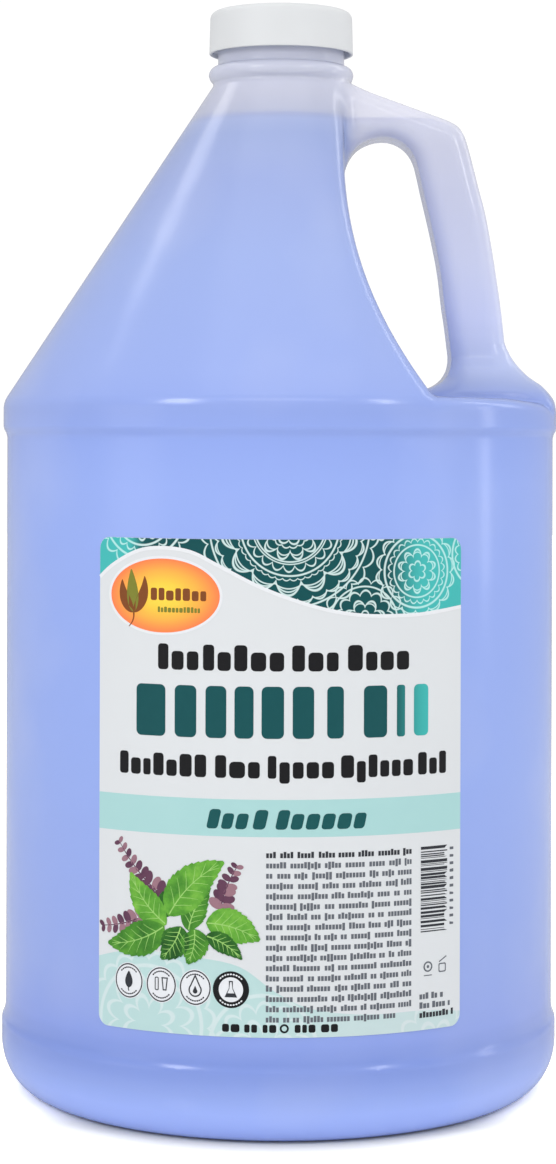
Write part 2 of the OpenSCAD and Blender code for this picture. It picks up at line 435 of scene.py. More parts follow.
def grid_normals(V):
    """Normals of a grid of rings, pointing to the left of the row direction seen from outside."""
    du = np.roll(V, -1, 1) - np.roll(V, 1, 1)
    dv = np.empty_like(V)
    dv[1:-1] = V[2:] - V[:-2]
    dv[0] = V[1] - V[0]
    dv[-1] = V[-1] - V[-2]
    n = np.cross(du, dv)
    return n / np.maximum(np.linalg.norm(n, axis=2, keepdims=True), 1e-12)


def neck_rings():
    z_t0 = MOUTH_Z - 7.3

    def fn(th, z):
        return (THREAD_R - NECK_R) * ridge(th, z, z_t0, 1.25, 1.12, 0.5)

    rows = [(r, z, None) for r, z in arc(BEAD_R - BEAD_W, BEAD_Z, BEAD_W, BEAD_W, -6, 74, 16)]
    rows += [(r, z, None) for r, z in arc(NECK_R + 0.7, BEAD_Z + 3.02, 0.7, 0.7, -112, -175, 5)]
    rows += [(NECK_R, z, fn) for z in np.linspace(BEAD_Z + 3.4, MOUTH_Z - 0.6, 42)]
    rows += [(r, z, None) for r, z in arc(NECK_R - 0.55, MOUTH_Z - 0.55, 0.55, 0.55, 12, 90, 6)]
    rows += [(r, MOUTH_Z, None) for r in (16.6, 16.2)]
    rows += [(r, z, None) for r, z in arc(BORE_R + 0.4, MOUTH_Z - 0.4, 0.4, 0.4, 90, 180, 5)]
    rows += [(BORE_R, z, None) for z in np.linspace(MOUTH_Z - 1.2, 280.6, 14)]
    return lathe_rows(rows)


def build_jug():
    coarse = 1.17
    vo, qo = field_mesh("out", coarse)
    vi, qi = field_mesh("in", coarse * 1.5)
    vo, fo, rim_o = cut_below(vo, qo, 276.9)
    vi, fi, rim_i = cut_below(vi, qi, 280.0)
    V = neck_rings()
    n_rows, seg = V.shape[:2]
    vn = V.reshape(-1, 3)
    no, ni = len(vo), len(vi)
    verts = np.concatenate([vo, vi, vn])
    faces = list(fo)
    inner_from = len(faces)
    faces += [[i + no for i in f][::-1] for f in fi]
    inner_to = len(faces)
    base = no + ni
    faces += ring_faces(n_rows, seg, base)
    faces += zip_loops(verts, verts, rim_o, list(range(base, base + seg)), False)
    last = base + (n_rows - 1) * seg
    faces += zip_loops(verts, verts, [i + no for i in rim_i], list(range(last, last + seg)), True)
    go, gi = grad(vo, "out", 0.45), grad(vi, "in", 0.45)
    nn = grid_normals(V).reshape(-1, 3)
    normals = np.concatenate([go, -gi, nn])
    normals /= np.maximum(np.linalg.norm(normals, axis=1, keepdims=True), 1e-9)
    ob = make_mesh("jug_shell", verts, faces, normals)
    # which faces are the inner skin
    mats = np.zeros(len(ob.data.polygons), int)
    mats[inner_from:inner_to] = 1
    cz = np.array([p.center[:] for p in ob.data.polygons])
    nz = np.array([p.normal[:] for p in ob.data.polygons])
    inward = (cz[:, 0] * nz[:, 0] + cz[:, 1] * nz[:, 1]) < 0
    up = cz[:, 2] > 0.2805
    rr = np.hypot(cz[:, 0], cz[:, 1])
    mats[up & inward & (rr < 0.0158)] = 1
    ob["inner_faces"] = 1
    return ob, mats, verts


def grip_share(p):
    """1 on the grip, 0 on the body, with a soft change between them."""
    t = _tables
    x, y, z = p[:, 0], p[:, 1], p[:, 2]
    r = np.hypot(x, y)
    body = smax(t["rev"](r, z), -t["scoop"](x, z), EDGE_K)
    g = grip_shape(y, z, t["side"](x, z), t["rev"](r, z))
    s = np.clip((body - g) / 9.0 + 0.35, 0, 1)
    return s * s * (3 - 2 * s)


def set_attr(ob, name, values):
    a = ob.data.attributes.new(name, "FLOAT", "POINT")
    a.data.foreach_set("value", np.asarray(values, np.float32))


def build_oil():
    coarse = 1.35
    v, q = field_mesh("oil", coarse)
    v, f, rim = cut_below(v, q, OIL_Z)
    me = bpy.data.meshes.new("oil_tmp")
    me.from_pydata(v.tolist(), [], [list(map(int, x)) for x in f])
    bm = bmesh.new()
    bm.from_mesh(me)
    bpy.data.meshes.remove(me)
    edges = [e for e in bm.edges if e.is_boundary]
    made = bmesh.ops.triangle_fill(bm, use_beauty=True, use_dissolve=False, edges=edges, normal=(0, 0, 1))
    top = {x for x in made["geom"] if isinstance(x, bmesh.types.BMFace)}
    bm.verts.index_update()
    verts = np.array([x.co[:] for x in bm.verts])
    faces, is_top = [], []
    for x in bm.faces:
        idx = [y.index for y in x.verts]
        t = x in top
        if t and x.normal.z < 0:
            idx = idx[::-1]
        faces.append(idx)
        is_top.append(t)
    bm.free()
    g = grad(verts, "oil", 0.45)
    g /= np.maximum(np.linalg.norm(g, axis=1, keepdims=True), 1e-9)
    ob = make_mesh("oil_contents", verts, faces)
    loops = []
    for p in ob.data.polygons:
        for vi in p.vertices:
            loops.append((0, 0, 1) if is_top[p.index] else tuple(g[vi]))
    ob.data.normals_split_custom_set(loops)
    return ob, verts, np.array(is_top)


# ------------------------------------------------------------------ cap and liner
def closed_lathe(name, rows, seg, cut_normals=True):
    """A closed body of rings whose first and last rows close on the axis."""
    V = lathe_rows(rows, seg)
    n_rows = len(rows)
    verts = V.reshape(-1, 3)
    faces = ring_faces(n_rows, seg)
    a = len(verts)
    verts = np.concatenate([verts, [[0, 0, rows[0][1]], [0, 0, rows[-1][1]]]])
    for j in range(seg):
        k = (j + 1) % seg
        faces.append([k, j, a])
        last = (n_rows - 1) * seg
        faces.append([last + j, last + k, a + 1])
    n = np.concatenate([grid_normals(V).reshape(-1, 3), [[0, 0, 0], [0, 0, 0]]])
    for i, row in ((a, 0), (a + 1, n_rows - 1)):
        n[i] = grid_normals(V)[row].mean(0)
        n[i] /= np.linalg.norm(n[i])
    return make_mesh(name, verts, faces, n)


def build_cap():
    z_t0 = MOUTH_Z - 7.3 - PITCH / 2 + 0.25 + PITCH / 3

    def fn(th, z):
        return -(CAP_IN - 17.8) * ridge(th, z, z_t0, 1.0, 1.05, 0.4, phase=120.0)

    top_in = MOUTH_Z + 1.05
    rows = [(0.05, top_in, None), (4, top_in, None), (10, top_in, None), (15, top_in, None)]
    rows += [(r, z, None) for r, z in arc(CAP_IN - 0.7, top_in - 0.7, 0.7, 0.7, 90, 6, 6)]
    rows += [(CAP_IN, z, fn) for z in np.linspace(top_in - 1.1, CAP_Z0 + 0.75, 36)]
    rows += [(CAP_IN + 0.3 * t, CAP_Z0 + 0.6 * (1 - t), None) for t in (0.15, 0.6, 0.95)]
    rows += [(r, z, None) for r, z in arc(CAP_IN + 0.5, CAP_Z0 + 0.12, 0.18, 0.12, 210, 270, 3)]
    rows += [(r, z, None) for r, z in arc(CAP_R - 0.28, CAP_Z0 + 0.28, 0.28, 0.28, -90, 0, 6)]
    z_side = CAP_Z1 - 2.0
    rows += [(CAP_R - (CAP_R - CAP_R_TOP) * t, CAP_Z0 + 0.3 + (z_side - CAP_Z0 - 0.3) * t, None) for t in np.linspace(0.03, 0.98, 14)]
    rows += [(r, z, None) for r, z in arc(CAP_R_TOP - 2.0, z_side, 2.0, 2.0, 0, 88, 14)]
    rows += [(r, CAP_Z1 - 0.02 * (r / 17.0), None) for r in (17.0, 15.6)]
    rows += [(15.2, CAP_Z1 - 0.05, None), (14.9, CAP_Z1 - 0.12, None), (14.5, CAP_Z1 - 0.14, None), (8, CAP_Z1 - 0.14, None), (2.4, CAP_Z1 - 0.14, None)]
    rows += [(2.1, CAP_Z1 - 0.17, None), (1.9, CAP_Z1 - 0.26, None), (1.6, CAP_Z1 - 0.3, None), (0.5, CAP_Z1 - 0.3, None), (0.42, CAP_Z1 - 0.24, None), (0.2, CAP_Z1 - 0.2, None), (0.05, CAP_Z1 - 0.2, None)]
    # rows run from the inside of the top, down the skirt's inside, round its rim, up the outside and in to the middle
    return closed_lathe("screw_cap_shell", rows, 256)


def build_liner():
    z0, t, r = MOUTH_Z + 0.025, 1.0, 18.5
    rows = [(0.05, z0, None), (6, z0, None), (12, z0, None), (r - 0.5, z0, None)]
    rows += [(a, b, None) for a, b in arc(r - 0.2, z0 + 0.2, 0.2, 0.2, -85, 0, 4)]
    rows += [(a, b, None) for a, b in arc(r - 0.2, z0 + t - 0.2, 0.2, 0.2, 5, 85, 4)]
    rows += [(r - 0.5, z0 + t, None), (12, z0 + t, None), (6, z0 + t, None), (0.05, z0 + t, None)]
    return closed_lathe("cap_liner_disc", rows, 160)


# ------------------------------------------------------------------ label
def wrap(u, v, r):
    a = np.radians(LABEL_TURN) + u / 75.3
    return np.stack([r * np.sin(a), -r * np.cos(a), v + LABEL_Z0], 1)


def rounded_rect(w, h, c, cx=0.0, cy=0.0, n=6):
    out = []
    for sx, sy, a0 in ((1, 1, 0), (-1, 1, 90), (-1, -1, 180), (1, -1, 270)):
        for i in range(n + 1):
            a = math.radians(a0 + 90 * i / n)
            out.append((cx + sx * (w / 2 - c) + c * math.cos(a), cy + sy * (h / 2 - c) + c * math.sin(a)))
    return out


class Sheet:
    """Thin closed shapes wrapped on the label: each is an outline, with optional holes, cut into narrow strips."""

    def __init__(self):
        self.v, self.f, self.m, self.n, self.uv = [], [], [], [], []

    def add(self, outline, mat, r0, r1, holes=(), step=2.0, skew=None):
        loops = [[Vector((x, y, 0)) for x, y in outline]] + [[Vector((x, y, 0)) for x, y in h] for h in holes]
        flat = [p for l in loops for p in l]
        tris = tessellate_polygon(loops)
        bm = bmesh.new()
        vs = [bm.verts.new(p) for p in flat]
        for t in tris:
            try:
                bm.faces.new([vs[i] for i in t])
            except ValueError:
                pass
        us = [p.x for p in flat]
        lo, hi = min(us), max(us)
        k = math.ceil(lo / step) * step
        while k < hi:
            if lo + 0.02 < k < hi - 0.02:
                bmesh.ops.bisect_plane(bm, geom=bm.verts[:] + bm.edges[:] + bm.faces[:], dist=1e-5, plane_co=(k, 0, 0), plane_no=(1, 0, 0))
            k += step
        bmesh.ops.dissolve_degenerate(bm, dist=1e-5, edges=bm.edges[:])
        for fc in bm.faces:
            fc.normal_update()
            if fc.normal.z < 0:
                fc.normal_flip()
        bm.verts.index_update()
        p2 = np.array([x.co[:2] for x in bm.verts])
        if not len(p2):
            bm.free()
            return
        off = len(self.v)
        n = len(p2)
        for r in (r0, r1):
            w = wrap(p2[:, 0], p2[:, 1], r)
            self.v += w.tolist()
            self.uv += p2.tolist()
        for fc in bm.faces:
            idx = [x.index for x in fc.verts]
            self.f.append([off + n + i for i in idx])
            self.n.append("out")
            self.f.append([off + i for i in idx][::-1])
            self.n.append("in")
            self.m += [mat, mat]
        for e in bm.edges:
            if e.is_boundary:
                fc = e.link_faces[0]
                a, b = e.verts[0].index, e.verts[1].index
                idx = [x.index for x in fc.verts]
                i = idx.index(a)
                if idx[(i + 1) % len(idx)] != b:
                    a, b = b, a
                self.f.append([off + a, off + b, off + n + b, off + n + a])
                self.n.append("side")
                self.m.append(mat)
        bm.free()

    def build(self, name, mats):
        ob = make_mesh(name, np.array(self.v), self.f)
        me = ob.data
        me.polygons.foreach_set("material_index", [mats.index(m) for m in self.m])
        loops = []
        for p in me.polygons:
            kind = self.n[p.index]
            for vi in p.vertices:
                if kind == "side":
                    loops.append(tuple(p.normal))
                else:
                    x, y, _ = me.vertices[vi].co
                    l = math.hypot(x, y)
                    s = 1 if kind == "out" else -1
                    loops.append((s * x / l, s * y / l, 0))
        me.normals_split_custom_set(loops)
        uv = me.uv_layers.new(name="label_mm")
        coords = np.zeros((len(me.loops), 2), np.float32)
        li = np.array([l.vertex_index for l in me.loops])
        coords[:] = np.array(self.uv, np.float32)[li] * 0.01
        uv.data.foreach_set("uv", coords.ravel())
        return ob


# ------------------------------------------------------------------ node helpers
def lin(r, g, b, k=1.0):
    """sRGB 0-255 to linear."""
    out = []
    for c in (r, g, b):
        c = c / 255.0
        out.append((c / 12.92 if c <= 0.04045 else ((c + 0.055) / 1.055) ** 2.4) * k)
    return (*out, 1.0)


class Mat:
    def __init__(self, name):
        self.m = bpy.data.materials.new(name)
        self.m.use_nodes = True
        self.t = self.m.node_tree
        self.t.nodes.clear()

    def n(self, kind, **kw):
        node = self.t.nodes.new("ShaderNode" + kind)
        for k, v in kw.items():
            setattr(node, k, v)
        return node

    def put(self, sock, v):
        if isinstance(v, bpy.types.NodeSocket):
            self.t.links.new(v, sock)
        else:
            sock.default_value = v

    def math(self, op, *args, clamp=False):
        node = self.n("Math", operation=op, use_clamp=clamp)
        for i, a in enumerate(args):
            self.put(node.inputs[i], a)
        return node.outputs[0]

    def smooth(self, v, lo, hi, a=0.0, b=1.0):
        node = self.n("MapRange", interpolation_type="SMOOTHSTEP")
        for i, x in enumerate((v, lo, hi, a, b)):
            self.put(node.inputs[i], x)
        return node.outputs[0]

    def mix(self, fac, a, b, kind="MIX"):
        node = self.n("Mix", data_type="RGBA", blend_type=kind)
        self.put(node.inputs[0], fac)
        self.put(node.inputs[6], a)
        self.put(node.inputs[7], b)
        return node.outputs[2]

    def ramp(self, fac, stops, interpolation="LINEAR"):
        node = self.n("ValToRGB")
        node.color_ramp.interpolation = interpolation
        el = node.color_ramp.elements
        while len(el) > 1:
            el.remove(el[-1])
        el[0].position, el[0].color = stops[0]
        for p, c in stops[1:]:
            e = el.new(p)
            e.color = c
        self.put(node.inputs[0], fac)
        return node.outputs[0]

    def noise(self, vec, scale, detail=3.0, rough=0.5):
        node = self.n("TexNoise")
        if vec is not None:
            self.put(node.inputs["Vector"], vec)
        node.inputs["Scale"].default_value = scale
        node.inputs["Detail"].default_value = detail
        node.inputs["Roughness"].default_value = rough
        return node.outputs["Fac"]

    def xyz(self, which="Object"):
        c = self.n("TexCoord").outputs[which]
        s = self.n("SeparateXYZ")
        self.put(s.inputs[0], c)
        return c, s.outputs[0], s.outputs[1], s.outputs[2]

    def bump(self, height, strength, distance, normal=None):
        node = self.n("Bump")
        node.inputs["Strength"].default_value = strength
        node.inputs["Distance"].default_value = distance
        self.put(node.inputs["Height"], height)
        if normal is not None:
            self.put(node.inputs["Normal"], normal)
        return node.outputs[0]

    def shader_mix(self, fac, a, b):
        node = self.n("MixShader")
        self.put(node.inputs[0], fac)
        self.put(node.inputs[1], a)
        self.put(node.inputs[2], b)
        return node.outputs[0]

    def principled(self, **kw):
        node = self.n("BsdfPrincipled")
        for k, v in kw.items():
            self.put(node.inputs[k.replace("_", " ")], v)
        return node.outputs[0]

    def out(self, shader):
        o = self.n("OutputMaterial")
        self.put(o.inputs["Surface"], shader)
        return self.m


# ------------------------------------------------------------------ materials
def z_stops(rows, k):
    return [(z / 300.0, lin(*c, k * g)) for z, c, g in rows]


# height, colour, and a brightness factor on that colour; colours and factors hold painted light and shade: painted
# light lifts the foot, the neck under the cap and the grip, painted shade darkens the step above the bottom bead, the
# shoulder and the upper cone
FILM_BODY_WITH_PAINTED_LIGHT = [
    (0, (155, 176, 239), 1.34), (8, (155, 176, 239), 1.24), (13, (150, 172, 238), 1.02), (17, (140, 163, 234), 0.95), (21, (138, 162, 236), 0.88),
    (26, (146, 168, 240), 0.95), (40, (155, 176, 240), 0.96), (90, (155, 178, 243), 0.98), (165, (155, 178, 244), 1.0), (178, (152, 175, 243), 0.97),
    (184, (156, 178, 244), 0.90), (194, (162, 183, 245), 0.90), (225, (168, 188, 245), 0.86), (248, (170, 187, 241), 0.82), (259, (171, 188, 238), 0.80),
    (263.4, (178, 192, 236), 0.82), (265.6, (198, 203, 226), 0.95), (270, (203, 206, 225), 1.0), (277, (205, 208, 225), 1.12), (281, (205, 208, 224), 1.16),
    (284, (204, 207, 222), 1.24), (292, (205, 208, 223), 1.2),
]
# the grip's colours by height, with painted light and shade in the factors
FILM_GRIP_WITH_PAINTED_LIGHT = [
    (176, (150, 172, 238), 0.90), (186, (160, 178, 236), 0.88), (192, (178, 192, 233), 1.0), (197, (188, 199, 232), 1.15), (210, (198, 204, 232), 1.22),
    (226, (205, 209, 231), 1.15), (245, (208, 211, 231), 1.06), (257, (212, 214, 231), 1.03), (263, (214, 216, 231), 1.06), (266, (217, 217, 229), 1.2),
    (276, (216, 216, 228), 1.2),
]


def hdpe():
    m = Mat("natural_hdpe_film")
    co, x, y, z = m.xyz()
    h = m.math("MULTIPLY", z, 1 / 0.3)
    grip = m.n("Attribute", attribute_name="grip").outputs["Fac"]
    # wall colour by height from the two tables, carrying their painted light and shade
    col = m.mix(grip, m.ramp(h, z_stops(FILM_BODY_WITH_PAINTED_LIGHT, FILM_K)), m.ramp(h, z_stops(FILM_GRIP_WITH_PAINTED_LIGHT, FILM_K)))
    cloud = m.noise(co, 22.0, 2.0, 0.5)
    col = m.mix(m.math("MULTIPLY", m.math("SUBTRACT", cloud, 0.5), 0.35, clamp=True), col, lin(236, 236, 240))
    oil_here = m.smooth(z, (OIL_Z - 2.6) * MM, (OIL_Z + 0.7) * MM, 1.0, 0.0)
    clear = m.math("ADD", m.math("MULTIPLY", oil_here, -0.16), 0.26)
    clear = m.math("ADD", clear, m.math("MULTIPLY", grip, 0.12))
    # fine orange peel, slow waves of a blown wall, and the mould's parting line
    fine = m.noise(co, 900.0, 2.0, 0.5)
    slow = m.noise(co, 38.0, 1.0, 0.4)
    line = m.smooth(m.math("ABSOLUTE", y), 0.00005, 0.00045, 1.0, 0.0)
    b1 = m.bump(slow, 0.35, 0.0011)
    b2 = m.bump(fine, 0.10, 0.00008, b1)
    nor = m.bump(line, 0.5, 0.00015, b2)
    rough = m.math("ADD", m.math("MULTIPLY", m.noise(co, 60.0, 3.0, 0.6), 0.08), 0.15)
    dif = m.n("BsdfDiffuse")
    m.put(dif.inputs["Color"], col)
    m.put(dif.inputs["Normal"], nor)
    tra = m.n("BsdfTranslucent")
    m.put(tra.inputs["Color"], col)
    m.put(tra.inputs["Normal"], nor)
    body = m.shader_mix(m.math("ADD", m.math("MULTIPLY", oil_here, -0.12), 0.17), dif.outputs[0], tra.outputs[0])
    # painted glow: an emission of the wall's own colour over a third of the grip's shading stands in for light
    # carried through the thin wall and flattens the grip's shade
    painted_glow = m.n("Emission")
    m.put(painted_glow.inputs["Color"], col)
    painted_glow.inputs["Strength"].default_value = 0.95
    body = m.shader_mix(m.math("MULTIPLY", grip, 0.34), body, painted_glow.outputs[0])
    clr = m.n("BsdfTransparent")
    body = m.shader_mix(clear, body, clr.outputs[0])
    gls = m.n("BsdfGlossy", distribution="GGX")
    m.put(gls.inputs["Roughness"], rough)
    m.put(gls.inputs["Normal"], nor)
    fr = m.n("Fresnel")
    fr.inputs["IOR"].default_value = 1.52
    m.put(fr.inputs["Normal"], nor)
    front = m.math("SUBTRACT", 1.0, m.n("NewGeometry").outputs["Backfacing"])
    shine = m.math("MULTIPLY", m.math("MULTIPLY", fr.outputs[0], 0.9), front)
    return m.out(m.shader_mix(shine, body, gls.outputs[0]))


def inner_skin():
    m = Mat("natural_hdpe_inside")
    clr = m.n("BsdfTransparent")
    dif = m.n("BsdfDiffuse")
    co, x, y, z = m.xyz()
    m.put(dif.inputs["Color"], m.mix(m.noise(co, 30.0), lin(206, 209, 224), lin(214, 216, 228)))
    return m.out(m.shader_mix(0.9, dif.outputs[0], clr.outputs[0]))


def oil_mat():
    m = Mat("blue_oil")
    co, x, y, z = m.xyz()
    h = m.math("MULTIPLY", z, 1 / 0.3)
    grip = m.n("Attribute", attribute_name="grip").outputs["Fac"]
    body = m.ramp(h, [(0.0, lin(96, 128, 238)), (0.6, lin(104, 140, 246)), (0.8, lin(122, 156, 247)), (0.88, lin(134, 163, 240))])
    thin = m.ramp(h, [(0.6, lin(112, 144, 236)), (0.7, lin(168, 184, 236)), (0.88, lin(196, 202, 234))])
    col = m.mix(grip, body, thin)
    col = m.mix(m.math("MULTIPLY", m.noise(co, 14.0, 2.0), 0.12), col, lin(170, 190, 250))
    tra = m.n("BsdfTranslucent")
    m.put(tra.inputs["Color"], col)
    p = m.principled(Base_Color=col, Roughness=0.12, IOR=1.46)
    return m.out(m.shader_mix(0.25, p, tra.outputs[0]))


def cap_mat():
    m = Mat("white_cap_plastic")
    co, x, y, z = m.xyz()
    col = m.mix(m.noise(co, 45.0, 3.0, 0.55), lin(*CAP_RGB), lin(*(c + 4 for c in CAP_RGB)))
    fine = m.noise(co, 2400.0, 2.0, 0.6)
    slow = m.noise(co, 160.0, 2.0, 0.5)
    nor = m.bump(fine, 0.22, 0.00005, m.bump(slow, 0.25, 0.00012))
    rough = m.math("ADD", m.math("MULTIPLY", m.noise(co, 300.0, 3.0, 0.6), 0.16), 0.40)
    p = m.principled(Base_Color=col, Roughness=rough, IOR=1.46, Normal=nor)
    tra = m.n("BsdfTranslucent")
    m.put(tra.inputs["Color"], col)
    return m.out(m.shader_mix(0.06, p, tra.outputs[0]))


def foam_mat():
    m = Mat("liner_foam")
    co, x, y, z = m.xyz()
    v = m.n("TexVoronoi")
    m.put(v.inputs["Vector"], co)
    v.inputs["Scale"].default_value = 2600.0
    d = v.outputs["Distance"]
    col = m.mix(d, lin(212, 214, 216), lin(240, 241, 242))
    nor = m.bump(d, 0.6, 0.00012)
    return m.out(m.principled(Base_Color=col, Roughness=0.85, Normal=nor))


def uv_mm(m):
    s = m.n("SeparateXYZ")
    m.put(s.inputs[0], m.n("UVMap", uv_map="label_mm").outputs[0])
    return m.math("MULTIPLY", s.outputs[0], 100.0), m.math("MULTIPLY", s.outputs[1], 100.0)


def ink(name, rgb, rgb2=None, rough=0.55, scale=700.0, amount=0.5, k=1.0):
    """A printed colour: two close shades mixed by fine grain, under the label's varnish."""
    m = Mat(name)
    co, x, y, z = m.xyz()
    a = lin(*rgb, k)
    b = lin(*(rgb2 or tuple(min(255, c + 8) for c in rgb)), k)
    col = m.mix(m.math("MULTIPLY", m.noise(co, scale, 3.0, 0.6), amount * 2, clamp=True), a, b)
    nor = m.bump(m.noise(co, 1500.0, 2.0, 0.5), 0.08, 0.00004)
    return m.out(m.principled(Base_Color=col, Roughness=rough, IOR=1.25, Normal=nor))


def paper_mat():
    m = Mat("label_film_white")
    co, x, y, z = m.xyz()
    col = m.mix(m.noise(co, 18.0, 2.0, 0.5), lin(*PAPER_RGB), lin(*(c + 5 for c in PAPER_RGB)))
    nor = m.bump(m.noise(co, 1500.0, 2.0, 0.5), 0.08, 0.00004, m.bump(m.noise(co, 26.0, 1.0), 0.12, 0.0006))
    return m.out(m.principled(Base_Color=col, Roughness=0.5, IOR=1.27, Normal=nor))


def rosette(m, u, v, cu, cv, rings):
    """A mask of thin petal outlines round a point: each ring is (radius, petal height, petals, half width of the line, turn)."""
    du, dv = m.math("SUBTRACT", u, cu), m.math("SUBTRACT", v, cv)
    rho = m.math("SQRT", m.math("ADD", m.math("MULTIPLY", du, du), m.math("MULTIPLY", dv, dv)))
    phi = m.math("ARCTAN2", dv, du)
    total = None
    for r, b, n, w, turn in rings:
        edge = r
        if b:
            s = m.math("ABSOLUTE", m.math("SINE", m.math("ADD", m.math("MULTIPLY", phi, n / 2), turn)))
            edge = m.math("ADD", m.math("MULTIPLY", m.math("POWER", s, 0.75), b), r)
        d = m.math("ABSOLUTE", m.math("SUBTRACT", rho, edge))
        line = m.smooth(d, w * 0.55, w * 1.35, 1.0, 0.0)
        total = line if total is None else m.math("MAXIMUM", total, line)
    return total, rho, phi


def lace_mat():
    m = Mat("label_ink_lace")
    u, v = uv_mm(m)
    co = m.n("TexCoord").outputs["Object"]
    big, rho, phi = rosette(m, u, v, 0.5, 127.5, [
        (1.7, 0.8, 6, 0.24, 0.0), (3.4, 1.2, 8, 0.26, 0.4), (5.0, 0.5, 16, 0.18, 0.2), (6.0, 2.4, 12, 0.30, 0.0), (6.4, 1.0, 12, 0.18, 0.0), (8.9, 0, 0, 0.20, 0), (9.5, 0, 0, 0.16, 0),
        (9.9, 1.5, 22, 0.24, 0.3), (12.4, 0, 0, 0.24, 0), (13.1, 0.5, 44, 0.15, 0), (13.9, 3.4, 14, 0.32, 0.2), (14.3, 2.1, 14, 0.20, 0.2), (14.7, 0.9, 14, 0.18, 0.2),
        (18.3, 1.3, 30, 0.24, 0.0), (18.6, 0.5, 30, 0.14, 0.0), (20.3, 0, 0, 0.24, 0), (21.2, 1.6, 26, 0.26, 0.3)])
    side, _, _ = rosette(m, u, v, 34.0, 116.0, [
        (1.6, 0.9, 6, 0.26, 0.2), (3.6, 1.9, 10, 0.28, 0.0), (4.0, 0.8, 10, 0.16, 0.0), (6.6, 0, 0, 0.22, 0), (7.3, 0.9, 24, 0.20, 0.1), (9.2, 0, 0, 0.28, 0), (9.9, 1.6, 16, 0.26, 0.4),
        (10.2, 0.6, 16, 0.15, 0.4)])
    left, _, _ = rosette(m, u, v, -38.0, 131.0, [
        (2.6, 1.4, 8, 0.3, 0.0), (5.6, 1.8, 14, 0.3, 0.2), (8.6, 0, 0, 0.28, 0), (9.3, 1.2, 24, 0.26, 0.0), (11.9, 0, 0, 0.3, 0), (12.6, 1.8, 20, 0.3, 0.3)])
    low, _, _ = rosette(m, u, v, 19.5, 103.5, [(1.8, 1.0, 6, 0.22, 0.2), (3.6, 1.9, 8, 0.28, 0.1), (4.0, 0.8, 8, 0.16, 0.1), (6.6, 1.3, 14, 0.26, 0.3), (8.9, 0, 0, 0.22, 0), (9.6, 1.4, 18, 0.22, 0.0)])
    mid, _, _ = rosette(m, u, v, 23.0, 127.5, [(1.0, 0.7, 5, 0.22, 0.1), (2.6, 1.1, 8, 0.24, 0.3)])
    edge, _, _ = rosette(m, u, v, 53.0, 120.0, [(3.0, 1.8, 8, 0.3, 0.3), (6.3, 1.0, 18, 0.26, 0.0), (8.2, 0, 0, 0.3, 0)])
    lines = big
    for o in (side, left, low, edge, mid):
        lines = m.math("MAXIMUM", lines, o)
    warm = m.smooth(u, 25.0, 36.0, 0.0, 1.0)
    cool = m.smooth(u, -37.0, -43.0, 0.0, 1.0)
    turq = m.math("MAXIMUM", warm, cool)
    base = m.mix(turq, lin(2, 66, 70), lin(66, 178, 175))
    base = m.mix(m.math("MULTIPLY", m.noise(co, 90.0, 3.0, 0.6), 0.10), base, lin(30, 140, 138))
    pale = m.mix(turq, lin(205, 226, 224), lin(178, 224, 221))
    col = m.mix(m.math("MULTIPLY", lines, 0.88), base, pale)
    return m.out(m.principled(Base_Color=col, Roughness=0.5, IOR=1.27))


def wash_mat():
    m = Mat("label_ink_wash")
    u, v = uv_mm(m)
    a, _, _ = rosette(m, u, v, -36.0, 2.0, [(4.0, 3.2, 8, 0.7, 0.2), (9.0, 3.4, 12, 0.6, 0.0), (14.5, 0, 0, 0.5, 0), (16.2, 1.8, 20, 0.5, 0.1)])
    b, _, _ = rosette(m, u, v, -6.0, -3.0, [(4.0, 3.4, 8, 0.6, 0.0), (9.2, 2.6, 14, 0.5, 0.3), (13.5, 0, 0, 0.5, 0)])
    c, _, _ = rosette(m, u, v, 40.0, -6.0, [(5.0, 3.0, 8, 0.6, 0.0), (10.0, 2.4, 14, 0.5, 0.2)])
    lines = m.math("MAXIMUM", m.math("MAXIMUM", a, b), c)
    co = m.n("TexCoord").outputs["Object"]
    base = m.mix(m.noise(co, 60.0, 2.0), lin(172, 205, 204), lin(186, 212, 211))
    col = m.mix(m.math("MULTIPLY", lines, 0.8), base, lin(205, 219, 220))
    fade = m.smooth(u, -8.0, 16.0, 0.0, 0.35)
    col = m.mix(fade, col, lin(*PAPER_RGB))
    return m.out(m.principled(Base_Color=col, Roughness=0.55, IOR=1.25))


def badge_mat():
    m = Mat("label_ink_badge")
    u, v = uv_mm(m)
    du = m.math("DIVIDE", m.math("SUBTRACT", u, -32.3), 15.2)
    dv = m.math("DIVIDE", m.math("SUBTRACT", v, 109.8), 9.3)
    d = m.math("SQRT", m.math("ADD", m.math("MULTIPLY", du, du), m.math("MULTIPLY", dv, dv)))
    col = m.ramp(d, [(0.0, lin(247, 214, 74)), (0.35, lin(248, 200, 70)), (0.7, lin(249, 166, 72)), (1.0, lin(244, 124, 76))])
    return m.out(m.principled(Base_Color=col, Roughness=0.5, IOR=1.27))


def headline_mat():
    m = Mat("label_ink_headline")
    u, v = uv_mm(m)
    col = m.mix(m.smooth(u, 26.0, 37.5, 0.0, 1.0), lin(14, 74, 78), lin(64, 176, 172))
    col = m.mix(m.math("MULTIPLY", m.noise(m.n("TexCoord").outputs["Object"], 400.0), 0.1), col, lin(40, 110, 110))
    return m.out(m.principled(Base_Color=col, Roughness=0.55, IOR=1.25))


def leaf_mat(name, a, b, c):
    m = Mat(name)
    co, x, y, z = m.xyz()
    f = m.noise(co, 260.0, 4.0, 0.6)
    col = m.ramp(f, [(0.25, lin(*a)), (0.5, lin(*b)), (0.75, lin(*c))])
    return m.out(m.principled(Base_Color=col, Roughness=0.55, IOR=1.25))


